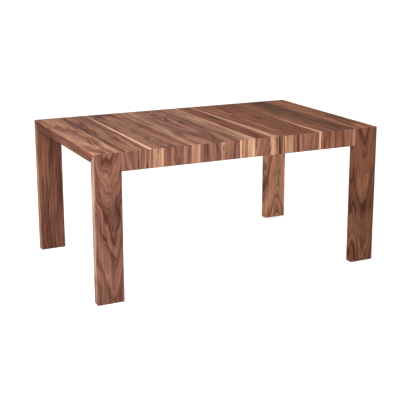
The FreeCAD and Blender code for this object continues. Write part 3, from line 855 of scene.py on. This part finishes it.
# %% [markdown]
# ## Beech
#
# Everything that slides or stiffens is beech: hard, even and pale, a little
# pink from steaming. It could have rings too, but they would hardly show.
# What marks it are its rays, dark flecks 2 to 3 mm long. They are drawn 3 mm
# long and 0.7 mm wide, a little wider than real ones, to show.

# %% Beech
beech_light = "#D2A882"
beech_dark = "#BD8C65"
beech_fleck = "#96643F"
beech_end_grain = (0.80, 0.72, 0.64, 1)
band_cells = (120.0, 60.0, 2.5)
fleck_cells = (1500.0, 1500.0, 330.0)


def beech(name, across, depth, along):
    """Steamed beech, planed and sealed, with its grain along one axis."""
    material, tree, shader = new_material(name)
    axes = add(tree, "SeparateXYZ", {0: add(tree, "TexCoord").outputs["Object"]})
    sides = {0: axes.outputs[across], 1: axes.outputs[depth]}
    grain = add(tree, "CombineXYZ", {**sides, 2: axes.outputs[along]})
    band_place = add(tree, "VectorMath", {0: grain, 1: band_cells}, operation="MULTIPLY")
    band = add(tree, "TexNoise", {"Vector": band_place, "Scale": 1.0, "Detail": 3.0})
    band_part = add(tree, "MapRange", {0: band, 1: 0.35, 2: 0.68})
    shades = {6: linear(beech_light), 7: linear(beech_dark)}
    colour = add(tree, "Mix", {0: band_part, **shades}, **blend)
    fleck_place = add(tree, "VectorMath", {0: grain, 1: fleck_cells}, operation="MULTIPLY")
    fleck = add(tree, "TexNoise", {"Vector": fleck_place, "Scale": 1.0, "Detail": 0.0})
    fleck_part = add(tree, "MapRange", {0: fleck, 1: 0.58, 2: 0.74, 3: 0.0, 4: 0.5})
    colour = add(tree, "Mix", {0: fleck_part, 6: colour, 7: linear(beech_fleck)}, **blend)
    colour = darken_end_grain(tree, colour, along, beech_end_grain)
    gloss = add(tree, "MapRange", {0: band, 1: 0.3, 2: 0.7, 3: 0.48, 4: 0.6})
    bump = add(tree, "Bump", {"Strength": 0.2, "Distance": 0.0002, "Height": fleck})
    wire(tree, shader, {"Base Color": colour, "Roughness": gloss, "Normal": bump,
                        "Specular IOR Level": 0.25})
    return material


beech_lengthwise = beech("sealed beech, grain along the table", "Y", "Z", "X")
beech_crosswise = beech("sealed beech, grain across the table", "X", "Z", "Y")
print("two beech materials")

# %% [markdown]
# ## Rails, bars and ledges
#
# The CAD shape of the rails is right, with dovetail tongues and grooves, but
# knife sharp. It could be modelled again, but a joiner only breaks each long
# edge with a plane. So a copy of each node is merged, its flat faces are
# joined again, and its outer edges are rounded by half a millimetre.

# %% Beech pieces
crease_angle = math.radians(35)
flat_angle = math.radians(1)
eased_angle = math.radians(40)
eased_radius = 0.0005


def soft_shading(bm):
    """Smooth shading, with a crease at each sharp edge."""
    for face in bm.faces:
        face.smooth = True
    for edge in bm.edges:
        edge.smooth = len(edge.link_faces) == 2 and edge.calc_face_angle() < crease_angle


def eased_copy(node, radius):
    """A merged copy of a CAD node with its longer outer edges rounded."""
    bm = bmesh.new()
    bm.from_mesh(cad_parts[node].data)
    bmesh.ops.remove_doubles(bm, verts=bm.verts, dist=welded)
    bmesh.ops.dissolve_limit(bm, angle_limit=flat_angle, verts=bm.verts, edges=bm.edges)
    outer = [edge for edge in bm.edges if edge.is_convex and edge.calc_length() > 6 * radius
             and edge.calc_face_angle() > eased_angle]
    bmesh.ops.bevel(bm, geom=outer, offset=radius, offset_type="OFFSET", affect="EDGES",
                    segments=2, profile=0.5, material=-1, clamp_overlap=False)
    soft_shading(bm)
    return bm


half_pieces = ("slide_rail_front_", "slide_rail_back_", "cross_rail_", "stop_block_", "glue_blocks_")
beech_pieces = {
    "left_half": [piece + "left" for piece in half_pieces],
    "right_half": [piece + "right" for piece in half_pieces],
    "carriage": ["centre_rail_front", "centre_rail_back", "leaf_runner_front", "leaf_runner_back",
                 "cross_bar_left", "cross_bar_right"],
}
for body, nodes in beech_pieces.items():
    for node in nodes:
        low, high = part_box(node)
        lengthwise = high.x - low.x > high.y - low.y or "glue" in node
        material = beech_lengthwise if lengthwise else beech_crosswise
        finish_piece(eased_copy(node, eased_radius), "beech_" + node, body, "beech", material, node)
for half in ("left", "right"):
    for node in ("cross_rail_dowels_", "mitre_tongues_"):
        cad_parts[node + half].material_slots[0].material = beech_crosswise
print("beech pieces:", sum(len(nodes) for nodes in beech_pieces.values()))

# %% [markdown]
# ## Zinc-plated steel
#
# Screws and flats are steel that was tumbled in a zinc bath. An even grey
# would look like chrome. A coat of zinc is a little blue and cloudy, so
# clouds of 4 mm change its colour and its gloss.

# %% Zinc-plated steel
clouds_per_metre = 250.0

zinc, tree, shader = new_material("zinc-plated steel, barrel plated")
place = add(tree, "TexCoord").outputs["Object"]
cloud = add(tree, "TexNoise", {"Vector": place, "Scale": clouds_per_metre, "Detail": 3.0})
cloud_part = add(tree, "MapRange", {0: cloud, 1: 0.35, 2: 0.65})
colour = add(tree, "Mix", {0: cloud_part, 6: linear("#B7B9BB"), 7: linear("#9FA6AF")}, **blend)
gloss = add(tree, "MapRange", {0: cloud, 1: 0.3, 2: 0.7, 3: 0.30, 4: 0.44})
wire(tree, shader, {"Base Color": colour, "Roughness": gloss, "Metallic": 1.0})
print("clouds of", 1000 / clouds_per_metre, "mm on the zinc")

# %% [markdown]
# ## Brushed brass
#
# Levers and keepers are brass plated and brushed along their length. An even
# gloss would look cast, so fine lines change it. Real ones are 0.2 mm apart,
# and these are drawn 0.5 mm apart, to show.

# %% Brushed brass
brush_cells = (2000.0, 60.0, 2000.0)

brass, tree, shader = new_material("brass plating, brushed")
place = add(tree, "TexCoord").outputs["Object"]
line_place = add(tree, "VectorMath", {0: place, 1: brush_cells}, operation="MULTIPLY")
lines = add(tree, "TexNoise", {"Vector": line_place, "Scale": 1.0, "Detail": 2.0})
gloss = add(tree, "MapRange", {0: lines, 1: 0.3, 2: 0.7, 3: 0.22, 4: 0.42})
wire(tree, shader, {"Base Color": linear("#D9B978"), "Roughness": gloss, "Metallic": 1.0})
print("brush lines", 1000 / brush_cells[0], "mm apart on the brass")

# %% [markdown]
# ## Moulded nylon
#
# Racks, pinions and glides are nylon from a mould. They could be plain
# white, but the eroded steel of a mould leaves a dull grain of about 0.6 mm,
# so a fine noise changes the tone and the relief.

# %% Moulded nylon
grains_per_metre = 1600.0

nylon, tree, shader = new_material("nylon, injection moulded")
place = add(tree, "TexCoord").outputs["Object"]
grain = add(tree, "TexNoise", {"Vector": place, "Scale": grains_per_metre, "Detail": 1.0})
grain_tone = add(tree, "MapRange", {0: grain, 1: 0.3, 2: 0.7})
colour = add(tree, "Mix", {0: grain_tone, 6: linear("#D6D4CC"), 7: linear("#E0DFD8")}, **blend)
bump = add(tree, "Bump", {"Strength": 0.3, "Distance": 0.0001, "Height": grain})
wire(tree, shader, {"Base Color": colour, "Roughness": 0.55, "Normal": bump,
                    "Specular IOR Level": 0.4})

for node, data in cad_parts.items():
    if "rack_" in node or node in ("pinion_front", "pinion_back"):
        data.material_slots[0].material = nylon
    if "stiffener" in node or node == "pinion_pins":
        data.material_slots[0].material = zinc
print("nylon racks and pinions, zinc-plated bars and pins")

# %% [markdown]
# ## Turned shapes
#
# Screws, studs, pins and glides are round. A cylinder would lose their heads
# and tips, so each is a profile that spins round its axis, made once and
# copied to its places. The recess for the screwdriver is real.

# %% Turned shapes
def spun(profile, steps=32):
    """Spins a profile of (radius, height) points in mm round the Z axis."""
    bm = bmesh.new()
    verts = [bm.verts.new((radius / metre, 0, height / metre)) for radius, height in profile]
    edges = [bm.edges.new(pair) for pair in zip(verts, verts[1:])]
    bmesh.ops.spin(bm, geom=verts + edges, cent=(0, 0, 0), axis=(0, 0, 1), angle=2 * math.pi,
                   steps=steps, use_merge=True)
    bmesh.ops.remove_doubles(bm, verts=bm.verts, dist=welded)
    bmesh.ops.recalc_face_normals(bm, faces=bm.faces)
    soft_shading(bm)
    return bm


def with_recess(bm, corners):
    """The same shape with boxes, given by half sizes in mm, cut into its foot."""
    piece = new_object(bm, "screw")
    for corner in corners:
        reach = Vector(corner) / metre
        drill(piece, block(-reach, reach))
    cut = bmesh.new()
    cut.from_mesh(piece.data)
    bpy.data.objects.remove(piece)
    soft_shading(cut)
    return cut


def add_shape(whole, shape):
    """Adds one bmesh to another and frees it."""
    mesh = bpy.data.meshes.new("copy")
    shape.to_mesh(mesh)
    shape.free()
    whole.from_mesh(mesh)
    bpy.data.meshes.remove(mesh)


def placed(shape, matrices):
    """One bmesh with a copy of a shape at each place."""
    whole = bmesh.new()
    for matrix in matrices:
        one = shape.copy()
        bmesh.ops.transform(one, verts=one.verts, matrix=matrix)
        add_shape(whole, one)
    shape.free()
    return whole


def upright(solid):
    """The place of a screw whose head is at the wide end of its solid."""
    head_down = solid.wide_z < solid.middle.z
    foot = Vector((solid.middle.x, solid.middle.y, solid.low.z if head_down else solid.high.z))
    turn = Matrix() if head_down else Matrix.Rotation(math.pi, 4, "X")
    return Matrix.Translation(foot) @ turn


print("shapes are turned in 16 to 32 steps")

# %% [markdown]
# ## Wood screws
#
# Countersunk screws hold the slides and the carriage. A thread could be
# modelled, but it is inside the wood. What shows is the flat head with its
# cross recess. The screws of a node have one or more lengths.

# %% Wood screws
def wood_screw(length):
    """A countersunk screw, head down, with a cross recess, in mm."""
    profile = [(0, 0), (3.5, 0), (3.9, 0.25), (2.0, 2.3), (2.0, length - 5), (0.3, length), (0, length)]
    return with_recess(spun(profile, 24), [(2.1, 0.5, 1.3), (0.5, 2.1, 1.3)])


screw_nodes = {
    "rail_screws_left": "left_half", "rail_screws_right": "right_half", "carriage_screws": "carriage",
}
for node, body in screw_nodes.items():
    bm = bmesh.new()
    found = solids(node)
    for length in sorted({round(solid.height, 1) for solid in found}):
        places = [upright(solid) for solid in found if abs(solid.height - length) < 0.1]
        add_shape(bm, placed(wood_screw(length), places))
    finish_piece(bm, "zinc_" + node, body, "steel", zinc, node)
    print(node, len(found))

# %% [markdown]
# ## Latch studs
#
# A latch turns on a pivot screw, and its slot goes round a keeper on the
# other half. They could be two shapes, but a turned stud with a low dome
# does for both: the pivot has the larger head, which holds the lever.

# %% Latch studs
studs = {
    "latch_pivot_front_left": ("left_half", 5.4, "steel", zinc),
    "latch_pivot_back_right": ("right_half", 5.4, "steel", zinc),
    "latch_keeper_back_left": ("left_half", 3.4, "brass_plate", brass),
    "latch_keeper_front_right": ("right_half", 3.4, "brass_plate", brass),
}


def headed_stud(radius, length):
    """A stud, head down, with a low dome and a slot, in mm."""
    profile = [(0, 0), (radius * 0.4, 0.05), (radius * 0.7, 0.35), (radius * 0.9, 0.9), (radius, 1.7),
               (radius, 2.5), (2.0, 2.5), (2.0, length), (0, length)]
    return with_recess(spun(profile), [(radius * 1.1, 0.6, 1.1)])


for node, (body, radius, slot, material) in studs.items():
    found = solids(node)
    bm = placed(headed_stud(radius, found[0].height), [upright(solid) for solid in found])
    finish_piece(bm, "stud_" + node, body, slot, material, node)
print("latch studs:", len(studs))

# %% [markdown]
# ## Glides and seam pins
#
# Nylon glides under the legs spare the floor, and steel pins in the seam
# edge bring the half tops level. Both could keep their few CAD sides, but a
# flat side shows at once. The nose of a pin tapers, to find its hole.

# %% Glides and seam pins
glide_profile = [(0, 0.6), (2.6, 0.5), (3.2, 0), (10.4, 0), (11.4, 0.4), (11.9, 1.2), (12, 3), (0, 3)]
pin_profile = [(0, 0), (4, 0), (4, 28.6), (3.4, 30.6), (2.2, 31.7), (0, 32)]


def lying(solid, outward):
    """The place of a round piece that starts inside and points outward."""
    start = Vector((solid.low.x if outward > 0 else solid.high.x, solid.middle.y, solid.middle.z))
    along = Vector((outward, 0, 0)).to_track_quat("Z", "Y").to_matrix().to_4x4()
    return Matrix.Translation(start) @ along


for half, outward in (("left", 1), ("right", -1)):
    body = half + "_half"
    node = "foot_glides_" + half
    feet = [(glide.middle.x, glide.middle.y, glide.low.z) for glide in solids(node)]
    places = [Matrix.Translation(foot) for foot in feet]
    finish_piece(placed(spun(glide_profile), places), "nylon_" + node, body, "nylon", nylon, node)
    node = "seam_pins_" + half
    places = [lying(pin, outward) for pin in pins[half]]
    finish_piece(placed(spun(pin_profile, 24), places), "zinc_" + node, body, "steel", zinc, node)
print("seam pins:", sum(len(found) for found in pins.values()))

# %% [markdown]
# ## Coach screws
#
# Coach screws through the cross rail hold each end frame. Their hexagon
# heads lie where a spanner reaches them. A spun profile can't give six
# sides, so a head is extruded from a hexagon, with a rounded rim.

# %% Coach screws
shank_profile = [(0, 0), (0.3, 0), (3, 8), (3, 60.2), (0, 60.2)]
head_start = 0.06
head_radius = 0.0059
head_height = 0.004
head_rounding = 0.0007


def hexagon_head():
    """A hexagon head that stands on the XY plane."""
    head = bmesh.new()
    bmesh.ops.create_circle(head, cap_ends=True, segments=6, radius=head_radius)
    rim = bmesh.ops.extrude_face_region(head, geom=head.faces[:])["geom"]
    raised = [item for item in rim if isinstance(item, bmesh.types.BMVert)]
    bmesh.ops.translate(head, verts=raised, vec=(0, 0, head_height))
    bmesh.ops.recalc_face_normals(head, faces=head.faces)
    round_edges(head, lambda middle: middle.z > head_height * 0.9, head_rounding, 3)
    soft_shading(head)
    return head


for half, outward in (("left", 1), ("right", -1)):
    node = "frame_bolts_" + half
    places = [lying(solid, outward) for solid in solids(node)]
    head_places = [place @ Matrix.Translation((0, 0, head_start)) for place in places]
    bm = placed(spun(shank_profile, 16), places)
    add_shape(bm, placed(hexagon_head(), head_places))
    finish_piece(bm, "zinc_coach_screws_" + half, half + "_half", "steel", zinc, node)
    print("coach screws", half, len(places))

# %% [markdown]
# ## Latch levers
#
# Each lever is stamped from plate, bent up at the tab for a finger, and
# brushed. It could be modelled anew, but its CAD shape has the curved slot
# already, so a copy gets soft edges.

# %% Latch levers
lever_radius = 0.0004
levers = {"latch_lever_front_left": "latch_front", "latch_lever_back_right": "latch_back"}
for node, body in levers.items():
    finish_piece(eased_copy(node, lever_radius), "brass_" + node, body, "brass_plate", brass, node)
print("latch levers:", len(levers))
